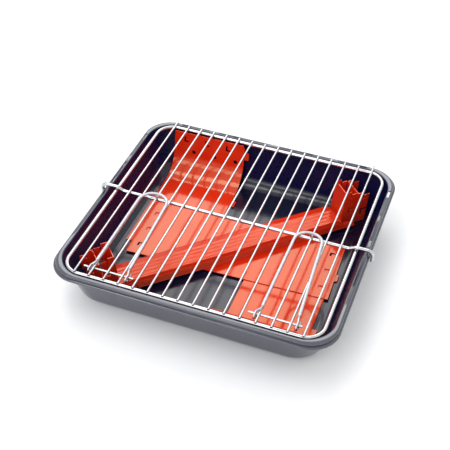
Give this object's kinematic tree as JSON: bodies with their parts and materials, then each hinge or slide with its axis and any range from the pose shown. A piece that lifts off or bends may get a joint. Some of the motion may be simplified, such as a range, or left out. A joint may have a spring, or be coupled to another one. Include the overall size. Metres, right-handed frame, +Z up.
{
  "type": "portable charcoal grill",
  "caption": "Portable charcoal grill packed in its enamelled pan: wire rack with folding coil-grip handles, nested bracket legs and wind shield sheets.",
  "frame": {"origin": "middle of the pan's underside, on the table", "axes": "+Z up; +Y towards the back, the side away from the handles' hinges; +X to the right, the long way of the pan"},
  "size_m": [0.3886, 0.3536, 0.0769],
  "materials": {
    "black_enamel": "glossy",
    "chromed_wire": "polished",
    "red_enamel": "glossy",
    "spring_wire": "satin"
  },
  "bodies": {
    "pan": {"pan": "black_enamel"},
    "rack": {"frame_wire": "chromed_wire", "cross_rod": "chromed_wire", "grate_wire_01": "chromed_wire", "grate_wire_02": "chromed_wire", "grate_wire_03": "chromed_wire", "grate_wire_04": "chromed_wire", "grate_wire_05": "chromed_wire", "grate_wire_06": "chromed_wire", "grate_wire_07": "chromed_wire", "grate_wire_08": "chromed_wire", "grate_wire_09": "chromed_wire", "grate_wire_10": "chromed_wire", "grate_wire_11": "chromed_wire", "grate_wire_12": "chromed_wire", "grate_wire_13": "chromed_wire", "grate_wire_14": "chromed_wire", "grate_wire_15": "chromed_wire", "grate_wire_16": "chromed_wire", "hinge_wire_left": "chromed_wire", "hinge_wire_right": "chromed_wire"},
    "left_handle": {"handle_left": "chromed_wire", "handle_coil_left": "spring_wire"},
    "right_handle": {"handle_right": "chromed_wire", "handle_coil_right": "spring_wire"},
    "leg_1": {"bracket_leg_1": "red_enamel"},
    "leg_2": {"bracket_leg_2": "red_enamel"},
    "leg_3": {"bracket_leg_3": "red_enamel"},
    "leg_4": {"bracket_leg_4": "red_enamel"},
    "wind_shield_left": {"wind_shield_left": "red_enamel"},
    "wind_shield_right": {"wind_shield_right": "red_enamel"},
    "wind_shield_back": {"wind_shield_back": "red_enamel"}
  },
  "joints": [
    {"name": "rack_lift", "type": "slide", "parent": "pan", "child": "rack", "axis": [0, 0, 1], "range_m": [0, 0.4]},
    {"name": "left_handle_swing", "type": "hinge", "parent": "rack", "child": "left_handle", "pos_m": [-0.11, -0.1492, 0.0672], "axis": [1, 0, 0], "range_deg": [0, 84]},
    {"name": "right_handle_swing", "type": "hinge", "parent": "rack", "child": "right_handle", "pos_m": [0.11, -0.1492, 0.0672], "axis": [1, 0, 0], "range_deg": [0, 84]},
    {"name": "leg_1_lift", "type": "slide", "parent": "pan", "child": "leg_1", "axis": [0, 0, 1], "range_m": [0, 0.32]},
    {"name": "leg_2_lift", "type": "slide", "parent": "pan", "child": "leg_2", "axis": [0, 0, 1], "range_m": [0, 0.28]},
    {"name": "leg_3_lift", "type": "slide", "parent": "pan", "child": "leg_3", "axis": [0, 0, 1], "range_m": [0, 0.24]},
    {"name": "leg_4_lift", "type": "slide", "parent": "pan", "child": "leg_4", "axis": [0, 0, 1], "range_m": [0, 0.2]},
    {"name": "wind_shield_back_lift", "type": "slide", "parent": "pan", "child": "wind_shield_back", "axis": [0, 0, 1], "range_m": [0, 0.14]},
    {"name": "wind_shield_left_lift", "type": "slide", "parent": "pan", "child": "wind_shield_left", "axis": [0, 0, 1], "range_m": [0, 0.08]},
    {"name": "wind_shield_right_lift", "type": "slide", "parent": "pan", "child": "wind_shield_right", "axis": [0, 0, 1], "range_m": [0, 0.08]}
  ],
  "couplings": [
    {"joint": "leg_1_lift", "follows": "rack_lift", "ratio": 0.8},
    {"joint": "leg_2_lift", "follows": "rack_lift", "ratio": 0.7},
    {"joint": "leg_3_lift", "follows": "rack_lift", "ratio": 0.6},
    {"joint": "leg_4_lift", "follows": "rack_lift", "ratio": 0.5},
    {"joint": "wind_shield_back_lift", "follows": "rack_lift", "ratio": 0.35},
    {"joint": "wind_shield_left_lift", "follows": "rack_lift", "ratio": 0.2},
    {"joint": "wind_shield_right_lift", "follows": "rack_lift", "ratio": 0.2}
  ]
}
